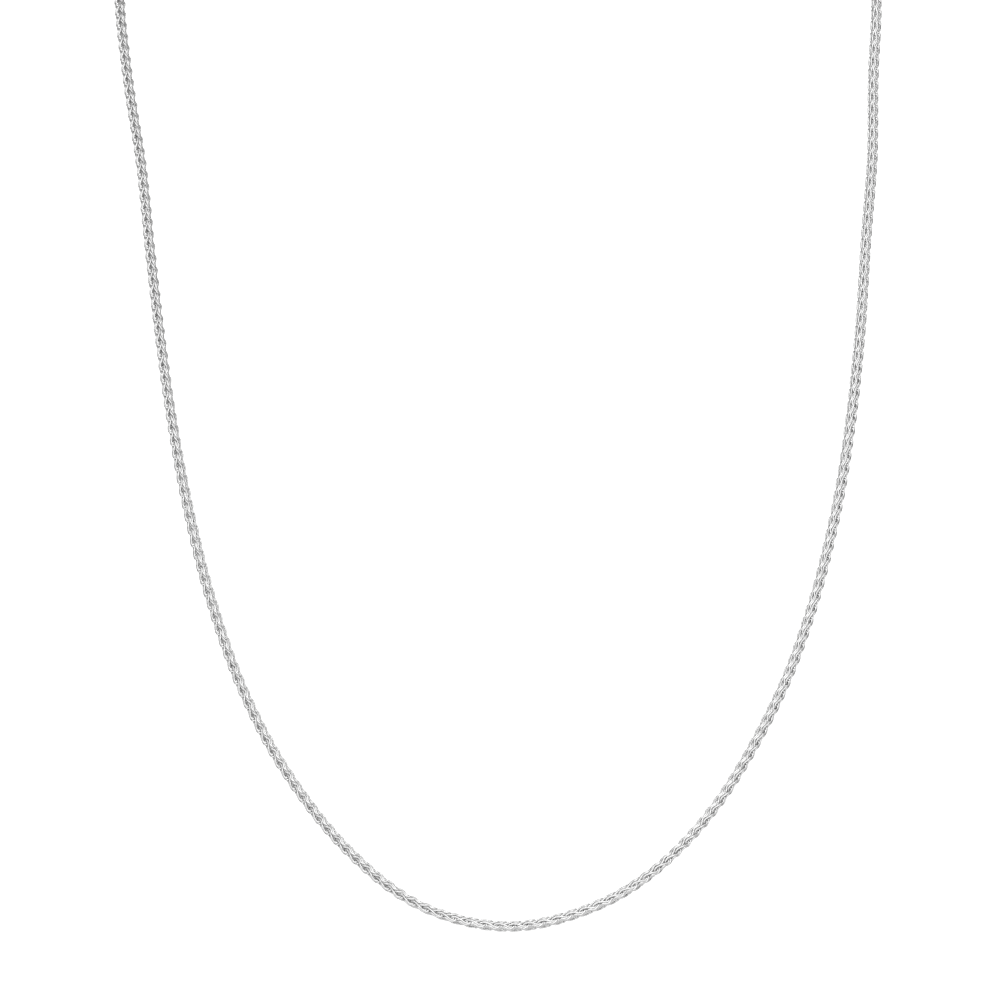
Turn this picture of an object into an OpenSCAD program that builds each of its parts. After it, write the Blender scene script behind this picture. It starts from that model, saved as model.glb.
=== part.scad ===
// Wheat chain necklace, a whole fastened loop as it hangs round a neck.
// +Z is up, the front of the necklace faces -Y and X runs across the neck.
// The origin is the nape: the middle of the clasp's ring, where the loop hangs.
// The chain is drawn here as a plain tube with its real width, length and route.

/* [Chain] */
// Width of the chain, across the corners of the tube
chain_d = 1.5; // [0.9:0.1:2.2]

/* [End caps] */
// Bore of each end cap, which the chain's end sits in
cap_bore_d = 1.7; // [1.0:0.1:2.6]
// Wall of each end cap round its bore
cap_wall = 0.3; // [0.2:0.05:0.6]
// Depth of the bore
cap_depth = 2.0; // [1.0:0.1:4.0]
// Solid metal behind the bore
cap_floor = 0.4; // [0.3:0.1:1.0]
// Length of the cone between the cap and its eye
cap_neck = 0.8; // [0.4:0.1:2.0]
// Hole of each cap's eye
cap_eye_hole_d = 1.8; // [1.6:0.1:3.0]

/* [Clasp] */
// Hole of the clasp's ring
clasp_hole_d = 3.8; // [3.0:0.1:8.0]
// Wire of the clasp's ring
clasp_wire_d = 1.1; // [0.8:0.05:1.4]
// Hole of the small eye soldered to the clasp's ring
clasp_eye_hole_d = 1.4; // [1.2:0.1:2.6]
// Diameter of the thumb stud on the clasp's ring
stud_d = 0.7; // [0.5:0.05:1.0]
// How far the thumb stud stands out of the ring
stud_rise = 0.6; // [0.3:0.1:1.5]
// Angle of the thumb stud round the ring, from +X towards +Z
stud_angle = 60; // [40:5:120]

/* [Eyes] */
// Wire of the small eyes on the caps and on the clasp
eye_wire_d = 0.6; // [0.4:0.05:0.9]

/* [Fit] */
// Clearance between two linked eyes, as if just short of pulled tight
link_gap = 0.1; // [0.05:0.05:0.3]
// Clearance between the chain's end and the floor of its bore
end_gap = 0.25; // [0.1:0.05:0.5]
// Depth to which soldered metal runs into its neighbour
solder = 0.15; // [0.1:0.05:0.25]

/* [Hidden] */
$fn = 72;
silver = [0.80, 0.80, 0.82];

// The loop's route from the left cap to the right cap, chosen by hand: x, y, z.
// The first six and the last six rows are the hidden way round the nape.
ROUTE = [
    [-13, 0, 0],
    [-24, -0.5, 0],
    [-35, -3, -0.5],
    [-44.5, -7.5, -1.5],
    [-51.5, -13, -4.5],
    [-55, -19.5, -8.5],
    [-55.5, -26.5, -14],
    [-54.2, -35.5, -25.5],
    [-52.2, -44.5, -38],
    [-50.9, -52.5, -50],
    [-49.4, -60.5, -62.5],
    [-47.5, -68, -75.5],
    [-45, -75, -88.5],
    [-41.8, -81.5, -101],
    [-37.2, -88, -113.9],
    [-30.8, -93.5, -125.9],
    [-22, -99, -137],
    [-11.5, -103, -145],
    [1, -104, -148],
    [13, -103, -145.4],
    [23, -100.5, -139.4],
    [32, -95.5, -129.5],
    [40, -89, -115.5],
    [45, -82.5, -102.5],
    [48.6, -75.5, -88.5],
    [50.8, -69, -75.5],
    [52.3, -61.5, -62],
    [53.2, -54, -49],
    [54.2, -46.5, -36.5],
    [54.4, -39, -25],
    [54.9, -31.5, -14],
    [54, -24, -7.5],
    [51, -16, -3.5],
    [44.5, -9, -1.5],
    [35, -3.5, -0.5],
    [24, -0.5, 0],
    [12, 0, 0]
];

// A direction that the route never runs along, because it faces out of the loop.
loop_normal = [0, 0.8, -0.6];
tube_sides = 8;
steps_per_span = 2;

// Clasp, laid out from the middle of its ring.
clasp_r = (clasp_hole_d + clasp_wire_d) / 2;
clasp_eye_r = (clasp_eye_hole_d + eye_wire_d) / 2;
clasp_eye_x = -(clasp_r + clasp_wire_d / 2 + clasp_eye_r + eye_wire_d / 2 - solder);

// Caps: where each eye hangs in the clasp, and how far its mouth is from the eye.
cap_r = cap_bore_d / 2 + cap_wall;
cap_eye_r = (cap_eye_hole_d + eye_wire_d) / 2;
cap_length = cap_depth + cap_floor;
eye_from_mouth = cap_length + cap_neck + cap_eye_r + eye_wire_d / 2 - solder;
left_eye_x = clasp_eye_x - clasp_eye_hole_d / 2 - cap_eye_hole_d / 2 + link_gap;
right_eye_x = clasp_hole_d / 2 + cap_eye_hole_d / 2 - link_gap;
left_mouth_x = left_eye_x - eye_from_mouth;
right_mouth_x = right_eye_x + eye_from_mouth;

// The chain's ends stand just off the floors of the two bores.
chain_path = concat(
    [[left_mouth_x + cap_depth - end_gap, 0, 0]],
    ROUTE,
    [[right_mouth_x - cap_depth + end_gap, 0, 0]]
);

function unit(v) = v / norm(v);

// Point i of a path, carried on straight past either end.
function path_point(path, i) =
    i < 0 ? 2 * path[0] - path[1] :
    i >= len(path) ? 2 * path[len(path) - 1] - path[len(path) - 2] :
    path[i];

// A smooth curve through points b and c, t of the way along, with a and d as neighbours.
function curve_point(a, b, c, d, t) =
    0.5 * (2 * b + (c - a) * t + (2 * a - 5 * b + 4 * c - d) * t * t + (3 * b - a - 3 * c + d) * t * t * t);

function curve_direction(a, b, c, d, t) =
    unit(c - a + 2 * (2 * a - 5 * b + 4 * c - d) * t + 3 * (3 * b - a - 3 * c + d) * t * t);

// One ring of the tube's corners, square to the path.
function ring_points(centre, direction, radius, sides) =
    let (across = unit(cross(direction, loop_normal)), up = cross(across, direction))
    [for (k = [0 : sides - 1]) let (a = 360 * k / sides) centre + radius * (cos(a) * across + sin(a) * up)];

function tube_rings(path, radius, sides, steps) =
    let (last = (len(path) - 1) * steps)
    [for (j = [0 : last])
        let (
            i = min(floor(j / steps), len(path) - 2),
            t = j / steps - i,
            a = path_point(path, i - 1),
            b = path_point(path, i),
            c = path_point(path, i + 1),
            d = path_point(path, i + 2)
        )
        ring_points(curve_point(a, b, c, d, t), curve_direction(a, b, c, d, t), radius, sides)
    ];

module tube(path, diameter, sides, steps) {
    rings = tube_rings(path, diameter / 2, sides, steps);
    last = len(rings) - 1;
    points = [for (ring = rings) each ring];
    walls = [
        for (j = [0 : last - 1], k = [0 : sides - 1])
            let (n = (k + 1) % sides, here = j * sides, next = here + sides)
            each [
                [here + k, next + k, next + n],
                [here + k, next + n, here + n]
            ]
    ];
    start = [[for (k = [0 : sides - 1]) k]];
    end = [[for (k = [sides - 1 : -1 : 0]) last * sides + k]];
    polyhedron(points = points, faces = concat(walls, start, end));
}

// A ring of round wire, lying in the XY plane.
module wire_ring(mean_radius, wire_d) {
    rotate_extrude()
        translate([mean_radius, 0])
            circle(d = wire_d);
}

// An end cap along +X: its mouth is at x = 0, its eye lies in the XY plane.
module end_cap() {
    difference() {
        union() {
            rotate([0, 90, 0])
                cylinder(h = cap_length, r = cap_r);
            translate([cap_length, 0, 0])
                rotate([0, 90, 0])
                    cylinder(h = cap_neck, r1 = cap_r, r2 = eye_wire_d / 2 + solder);
            translate([eye_from_mouth, 0, 0])
                wire_ring(cap_eye_r, eye_wire_d);
        }
        translate([-solder, 0, 0])
            rotate([0, 90, 0])
                cylinder(h = cap_depth + solder, d = cap_bore_d);
    }
}

module chain() {
    color(silver)
        tube(chain_path, chain_d, tube_sides, steps_per_span);
}

module end_cap_left() {
    color(silver)
        translate([left_mouth_x, 0, 0])
            end_cap();
}

module end_cap_right() {
    color(silver)
        translate([right_mouth_x, 0, 0])
            rotate([0, 0, 180])
                end_cap();
}

// A spring ring drawn as one plain piece: ring, soldered eye and thumb stud.
module clasp() {
    color(silver)
        union() {
            rotate([90, 0, 0])
                wire_ring(clasp_r, clasp_wire_d);
            translate([clasp_eye_x, 0, 0])
                rotate([90, 0, 0])
                    wire_ring(clasp_eye_r, eye_wire_d);
            rotate([0, -stud_angle, 0])
                translate([clasp_r, 0, 0])
                    rotate([0, 90, 0])
                        cylinder(h = clasp_wire_d / 2 + stud_rise, d = stud_d);
        }
}

chain();
end_cap_left();
end_cap_right();
clasp();
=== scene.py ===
import math

import bpy
import numpy as np
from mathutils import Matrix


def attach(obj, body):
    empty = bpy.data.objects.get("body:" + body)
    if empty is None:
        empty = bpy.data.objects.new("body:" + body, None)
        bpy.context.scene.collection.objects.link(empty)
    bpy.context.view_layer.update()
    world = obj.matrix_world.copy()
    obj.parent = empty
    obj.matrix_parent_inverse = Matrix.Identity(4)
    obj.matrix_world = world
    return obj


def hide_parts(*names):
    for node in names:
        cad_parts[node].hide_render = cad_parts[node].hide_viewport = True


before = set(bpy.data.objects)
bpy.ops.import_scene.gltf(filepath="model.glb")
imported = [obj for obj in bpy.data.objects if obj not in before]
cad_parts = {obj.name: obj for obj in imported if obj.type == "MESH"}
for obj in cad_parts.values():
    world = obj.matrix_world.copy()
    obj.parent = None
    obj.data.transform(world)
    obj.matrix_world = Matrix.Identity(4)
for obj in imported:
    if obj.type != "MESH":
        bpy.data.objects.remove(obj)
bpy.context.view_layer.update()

# The loop's route from the left cap to the right cap, in metres: the points of part.scad,
# with the chain's two ends.
ROUTE = [
    (-0.00845, 0, 0),
    (-0.013, 0, 0),
    (-0.024, -0.0005, 0),
    (-0.035, -0.003, -0.0005),
    (-0.0445, -0.0075, -0.0015),
    (-0.0515, -0.013, -0.0045),
    (-0.055, -0.0195, -0.0085),
    (-0.0555, -0.0265, -0.014),
    (-0.0542, -0.0355, -0.0255),
    (-0.0522, -0.0445, -0.038),
    (-0.0509, -0.0525, -0.05),
    (-0.0494, -0.0605, -0.0625),
    (-0.0475, -0.068, -0.0755),
    (-0.045, -0.075, -0.0885),
    (-0.0418, -0.0815, -0.101),
    (-0.0372, -0.088, -0.1139),
    (-0.0308, -0.0935, -0.1259),
    (-0.022, -0.099, -0.137),
    (-0.0115, -0.103, -0.145),
    (0.001, -0.104, -0.148),
    (0.013, -0.103, -0.1454),
    (0.023, -0.1005, -0.1394),
    (0.032, -0.0955, -0.1295),
    (0.040, -0.089, -0.1155),
    (0.045, -0.0825, -0.1025),
    (0.0486, -0.0755, -0.0885),
    (0.0508, -0.069, -0.0755),
    (0.0523, -0.0615, -0.062),
    (0.0532, -0.054, -0.049),
    (0.0542, -0.0465, -0.0365),
    (0.0544, -0.039, -0.025),
    (0.0549, -0.0315, -0.014),
    (0.054, -0.024, -0.0075),
    (0.051, -0.016, -0.0035),
    (0.0445, -0.009, -0.0015),
    (0.035, -0.0035, -0.0005),
    (0.024, -0.0005, 0),
    (0.012, 0, 0),
    (0.0055, 0, 0),
]
LOOP_NORMAL = (0, 0.8, -0.6)    # a direction that the route never runs along
STEPS_PER_SPAN = 40             # how finely the curve between two points of the route is followed

# One link, in metres: a closed wire folded over on itself. These points run from the middle of
# its fold, over one side's leg, round the eye, down again and back under the fold. The other
# side is the same turned half round. X is across the chain, Z along it, fold to eye.
LINK_SIDE = [
    (0.00000, 0.00000, 0.00015),
    (0.00032, -0.00002, 0.00015),
    (0.00057, -0.00005, 0.00016),
    (0.00065, -0.00021, 0.00046),
    (0.00066, -0.00002, 0.00085),
    (0.00064, 0.00019, 0.00120),
    (0.00055, 0.00023, 0.00152),
    (0.00037, 0.00035, 0.00190),
    (0.00027, 0.00032, 0.00234),
    (0.00025, 0.00013, 0.00278),
    (0.00025, -0.00015, 0.00278),
    (0.00029, -0.00034, 0.00232),
    (0.00038, -0.00035, 0.00190),
    (0.00056, -0.00011, 0.00150),
    (0.00066, -0.00010, 0.00120),
    (0.00063, -0.00030, 0.00085),
    (0.00054, -0.00047, 0.00050),
    (0.00067, -0.00022, 0.00000),
    (0.00052, 0.00002, -0.00023),
    (0.00025, 0.00002, -0.00017),
    (0.00000, 0.00000, -0.00016),
]
STEPS_PER_POINT = 2
WIRE_D = 0.00027
WIRE_SIDES = 8

# The links are counted from the right cap. Their folds point to that cap, their eyes to the left one.
CHAIN_PIECES = ("chain_right", "chain_front_right", "chain_front_left", "chain_left")
LINK_PITCH = 0.00105    # each link starts this far along from the last
LINKS_PER_TURN = 4      # and a quarter turn round from it, so every fourth link is turned alike
LINK_FOOT = 0.00035     # how far a link's fold reaches back along the chain
LINK_HEAD = 0.0029      # and how far its eyes reach forward

# How far the whole chain is turned about its own line: share of its length from the left end, degrees.
# Before the first row and after the last one the turn stays the same.
ROLLS = [(0.22, 45), (0.25, 50), (0.28, 40), (0.32, 20), (0.345, 22), (0.37, 28), (0.42, 15), (0.455, 14),
         (0.49, 56), (0.53, 60), (0.56, 25), (0.605, 18), (0.655, 28), (0.705, 25), (0.755, 0), (0.79, 10)]

# Silver: faint patches about 1 mm across, where its tint and its roughness go from the first
# value to the second, and a fine grain of wear about 0.1 mm across.
SILVER_TINT = (0.87, 0.93)
SILVER_ROUGHNESS = (0.34, 0.42)
PATCH_SCALE = 900.0
PATCH_DETAIL = 3.0
PATCH_EDGES = (0.3, 0.7)    # the noise levels between which the tint changes
WEAR_SCALE = 9000.0
WEAR_DETAIL = 2.0
WEAR_STRENGTH = 0.08
WEAR_DEPTH = 0.00002

# Stage: a pale floor well below the necklace, in a dim white world.
FLOOR_X = (-2.0, 2.0)
FLOOR_Y = (-2.0, 1.5)
FLOOR_Z = -0.30
FLOOR_GREY = 0.88
FLOOR_ROUGHNESS = 0.9
WORLD_STRENGTH = 0.20

# Camera: the photo's frame is 145 mm wide at the chain.
FRAME_WIDTH = 0.145
FRAME_CENTRE = (0.0, -0.070, -0.0865)
CAMERA_DISTANCE = 6.0
CAMERA_CLIP = (0.1, 20.0)
SENSOR = 36.0               # in millimetres, as the lens is


# The chain's route

def unit(v):
    """Vectors of the same direction and of length 1."""
    return v / np.linalg.norm(v, axis=-1, keepdims=True)


def curve_through(points, steps):
    """Positions on a smooth curve through the points, with straight ends."""
    p = np.array(points, float)
    p = np.vstack([2 * p[0] - p[1], p, 2 * p[-1] - p[-2]])
    t = np.linspace(0, 1, steps, endpoint=False)[:, None]
    spans = []
    for a, b, c, d in zip(p, p[1:], p[2:], p[3:]):
        spans.append(0.5 * (2 * b + (c - a) * t + (2 * a - 5 * b + 4 * c - d) * t**2
                            + (3 * b - a - 3 * c + d) * t**3))
    return np.vstack(spans + [p[-2:-1]])


class Route:
    """The chain's centre line, read by distance from its left end."""

    def __init__(self, points):
        self.centre = curve_through(points, STEPS_PER_SPAN)
        step = np.linalg.norm(np.diff(self.centre, axis=0), axis=1)
        self.at = np.concatenate([[0], np.cumsum(step)])
        self.length = self.at[-1]
        along = unit(np.gradient(self.centre, self.at, axis=0))
        self.across = unit(np.cross(along, LOOP_NORMAL))
        self.up = np.cross(self.across, along)

    def read(self, rows, distance):
        """What the rows, one for each position of the line, say at these distances."""
        return np.stack([np.interp(distance, self.at, rows[:, i]) for i in range(3)], axis=-1)

    def place(self, x, y, distance):
        """World places of points x and y to the side of the centre line."""
        return (self.read(self.centre, distance) + x[..., None] * self.read(self.across, distance)
                + y[..., None] * self.read(self.up, distance))


def roll_at(share):
    """The chain's turn about its own line, in radians, at a share of its length."""
    shares, degrees = zip(*ROLLS)
    return np.radians(np.interp(share, shares, degrees))


# One link of wire

def closed_spline(points, steps):
    """Points and directions of a smooth closed curve drawn by its control points."""
    c = np.array(points, float)
    before, after, later = np.roll(c, 1, 0), np.roll(c, -1, 0), np.roll(c, -2, 0)
    t = np.linspace(0, 1, steps, endpoint=False)[None, :, None]
    weights = ((1 - t)**3, 3 * t**3 - 6 * t**2 + 4, -3 * t**3 + 3 * t**2 + 3 * t + 1, t**3)
    slopes = (-(1 - t)**2, 3 * t**2 - 4 * t, -3 * t**2 + 2 * t + 1, t**2)
    four = [row[:, None] for row in (before, c, after, later)]
    place = sum(w * row for w, row in zip(weights, four)) / 6
    slope = sum(w * row for w, row in zip(slopes, four)) / 2
    return place.reshape(-1, 3), unit(slope.reshape(-1, 3))


def turned_about(v, axis, angle):
    """A vector square to the axis, turned about it."""
    return v * math.cos(angle) + np.cross(axis, v) * math.sin(angle)


def carried_normals(direction):
    """A vector square to the wire for each of its directions, each turned as little as can be."""
    normals = [unit(np.cross(direction[0], (0, 0, 1)))]
    for d in direction[1:]:
        normals.append(unit(normals[-1] - d * np.dot(normals[-1], d)))
    return normals


def wire_rings(centre, direction, radius, sides):
    """Rings of points round a closed wire, carried along it with no sudden twist."""
    normals = carried_normals(direction)
    first, last = normals[0], normals[-1]
    last = unit(last - direction[0] * np.dot(last, direction[0]))
    left_over = math.atan2(np.dot(np.cross(last, first), direction[0]), np.dot(last, first))
    angles = 2 * math.pi * np.arange(sides) / sides
    rings = []
    for i, (c, d, n) in enumerate(zip(centre, direction, normals)):
        n = turned_about(n, d, left_over * i / len(centre))
        side = np.cross(d, n)
        rings.append(c + radius * (np.cos(angles)[:, None] * n + np.sin(angles)[:, None] * side))
    return np.array(rings)


def link_template():
    """Points of one link, as rings, in the link's own frame."""
    side = np.array(LINK_SIDE)
    other = (side * (-1, -1, 1))[::-1][1:-1]
    centre, direction = closed_spline(np.vstack([side, other]), STEPS_PER_POINT)
    return wire_rings(centre, direction, WIRE_D / 2, WIRE_SIDES)


# Meshes

def add_object(name, data):
    obj = bpy.data.objects.new(name, data)
    bpy.context.scene.collection.objects.link(obj)
    return obj


def smooth_mesh(name, points, quads, material):
    """A smoothly shaded object with faces of four corners each."""
    mesh = bpy.data.meshes.new(name)
    mesh.vertices.add(len(points))
    mesh.vertices.foreach_set("co", points.astype(np.float32).ravel())
    mesh.loops.add(quads.size)
    mesh.loops.foreach_set("vertex_index", quads.astype(np.int32).ravel())
    mesh.polygons.add(len(quads))
    mesh.polygons.foreach_set("loop_start", np.arange(0, quads.size, 4, dtype=np.int32))
    mesh.polygons.foreach_set("use_smooth", np.ones(len(quads), dtype=bool))
    mesh.update(calc_edges=True)
    mesh.materials.append(material)
    return add_object(name, mesh)


def ring_quads(rings, sides):
    """Faces of one closed wire, as point numbers."""
    ring, side = np.meshgrid(np.arange(rings), np.arange(sides), indexing="ij")
    next_ring, next_side = (ring + 1) % rings, (side + 1) % sides
    corners = [ring * sides + side, next_ring * sides + side,
               next_ring * sides + next_side, ring * sides + next_side]
    return np.stack(corners, axis=-1).reshape(-1, 4)


def links_in_place(link, numbers, route, pitch):
    """World places of the points of the links with these numbers."""
    x, y, z = link.reshape(-1, 3).T
    foot = route.length - LINK_FOOT - numbers * pitch
    distance = foot[:, None] - z[None]
    own_turn = math.radians(360 / LINKS_PER_TURN) * (numbers[:, None] % LINKS_PER_TURN)
    turn = own_turn + roll_at(distance / route.length)
    across = x * np.cos(turn) - y * np.sin(turn)
    up = x * np.sin(turn) + y * np.cos(turn)
    return route.place(across, up, distance).reshape(-1, 3)


def make_chain(material):
    """All the links, evenly spaced from cap to cap, shared out among the chain's pieces."""
    route = Route(ROUTE)
    room = route.length - LINK_FOOT - LINK_HEAD
    count = int(room / LINK_PITCH) + 1
    pitch = room / (count - 1)
    link = link_template()
    points_in_link = len(link) * WIRE_SIDES
    quads = ring_quads(len(link), WIRE_SIDES)
    for name, numbers in zip(CHAIN_PIECES, np.array_split(np.arange(count), len(CHAIN_PIECES))):
        points = links_in_place(link, numbers, route, pitch)
        first_points = points_in_link * np.arange(len(numbers))
        faces = (quads[None] + first_points[:, None, None]).reshape(-1, 4)
        piece = smooth_mesh(name, points, faces, material)
        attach(piece, "root")
        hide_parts("chain")


# Materials

def grey(level):
    return (level, level, level, 1)


def new_material(name):
    """A new material, with its node tree and its shader."""
    material = bpy.data.materials.new(name)
    material.use_nodes = True
    tree = material.node_tree
    return material, tree, tree.nodes["Principled BSDF"]


def add_noise(tree, place, scale, detail):
    """Noise that stays fixed to the object."""
    noise = tree.nodes.new("ShaderNodeTexNoise")
    noise.inputs["Scale"].default_value = scale
    noise.inputs["Detail"].default_value = detail
    tree.links.new(place.outputs["Object"], noise.inputs["Vector"])
    return noise


def add_tint(tree, noise, shader):
    """Silver a little lighter in some patches than in others."""
    tint = tree.nodes.new("ShaderNodeValToRGB")
    for element, position, level in zip(tint.color_ramp.elements, PATCH_EDGES, SILVER_TINT):
        element.position = position
        element.color = grey(level)
    tree.links.new(noise.outputs["Fac"], tint.inputs["Fac"])
    tree.links.new(tint.outputs["Color"], shader.inputs["Base Color"])


def add_roughness(tree, noise, shader):
    """A polish that is a little duller in some patches than in others."""
    polish = tree.nodes.new("ShaderNodeMapRange")
    smoothest, roughest = SILVER_ROUGHNESS
    polish.inputs["To Min"].default_value = smoothest
    polish.inputs["To Max"].default_value = roughest
    tree.links.new(noise.outputs["Fac"], polish.inputs["Value"])
    tree.links.new(polish.outputs["Result"], shader.inputs["Roughness"])


def add_wear(tree, noise, shader):
    """A fine shallow bump, as wear leaves on polished metal."""
    bump = tree.nodes.new("ShaderNodeBump")
    bump.inputs["Strength"].default_value = WEAR_STRENGTH
    bump.inputs["Distance"].default_value = WEAR_DEPTH
    tree.links.new(noise.outputs["Fac"], bump.inputs["Height"])
    tree.links.new(bump.outputs["Normal"], shader.inputs["Normal"])


def silver_material():
    material, tree, shader = new_material("polished_silver")
    shader.inputs["Metallic"].default_value = 1.0
    place = tree.nodes.new("ShaderNodeTexCoord")
    patches = add_noise(tree, place, PATCH_SCALE, PATCH_DETAIL)
    wear = add_noise(tree, place, WEAR_SCALE, WEAR_DETAIL)
    add_tint(tree, patches, shader)
    add_roughness(tree, patches, shader)
    add_wear(tree, wear, shader)
    return material


def floor_material():
    material, _, shader = new_material("pale_backdrop")
    shader.inputs["Base Color"].default_value = grey(FLOOR_GREY)
    shader.inputs["Roughness"].default_value = FLOOR_ROUGHNESS
    return material


def dress_cad_nodes(material, names):
    """The same material on the CAD nodes that show as they are."""
    for name in names:
        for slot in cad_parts[name].material_slots:
            slot.material = material


# Stage, lights and camera

def make_floor():
    corners = np.array([(x, y, FLOOR_Z) for y in FLOOR_Y for x in FLOOR_X])
    smooth_mesh("pale_floor", corners, np.array([(0, 1, 3, 2)]), floor_material())


def make_world():
    world = bpy.data.worlds.new("studio")
    world.use_nodes = True
    background = world.node_tree.nodes["Background"]
    background.inputs["Color"].default_value = grey(1)
    background.inputs["Strength"].default_value = WORLD_STRENGTH
    bpy.context.scene.world = world


def aim(obj, target):
    """Turn a light or the camera towards a place."""
    way = np.array(target) - np.array(obj.location)
    flat = math.hypot(way[0], way[1])
    obj.rotation_euler = (math.atan2(flat, -way[2]), 0, math.atan2(-way[0], way[1]))


def area_light(name, place, target, size, power):
    data = bpy.data.lights.new(name, "AREA")
    data.shape = "RECTANGLE"
    data.size, data.size_y = size
    data.energy = power
    light = add_object(name, data)
    light.location = place
    aim(light, target)
    return light


def make_lights():
    """Two big soft panels, and a lit panel behind the necklace that the camera sees as white."""
    middle = (0, -0.06, -0.08)
    area_light("front_panel", place=(0, -7.0, 0.6), target=middle, size=(11.0, 11.0), power=427)
    area_light("top_panel", place=(0, -3.0, 6.3), target=middle, size=(13.0, 8.5), power=388)
    backdrop = area_light("white_backdrop", place=(0, 1.5, 0.2), target=(0, 0, 0.2),
                          size=(0.9, 1.0), power=3)
    backdrop.visible_camera = True


def make_camera():
    data = bpy.data.cameras.new("camera")
    data.sensor_width = SENSOR
    data.lens = SENSOR * CAMERA_DISTANCE / FRAME_WIDTH
    data.clip_start, data.clip_end = CAMERA_CLIP
    camera = add_object("camera", data)
    x, y, z = FRAME_CENTRE
    camera.location = (x, y - CAMERA_DISTANCE, z)
    aim(camera, FRAME_CENTRE)
    bpy.context.scene.camera = camera


bpy.context.scene.view_settings.view_transform = "Standard"
silver = silver_material()
make_chain(silver)
dress_cad_nodes(silver, ("end_cap_left", "end_cap_right", "clasp"))
make_floor()
make_world()
make_lights()
make_camera()
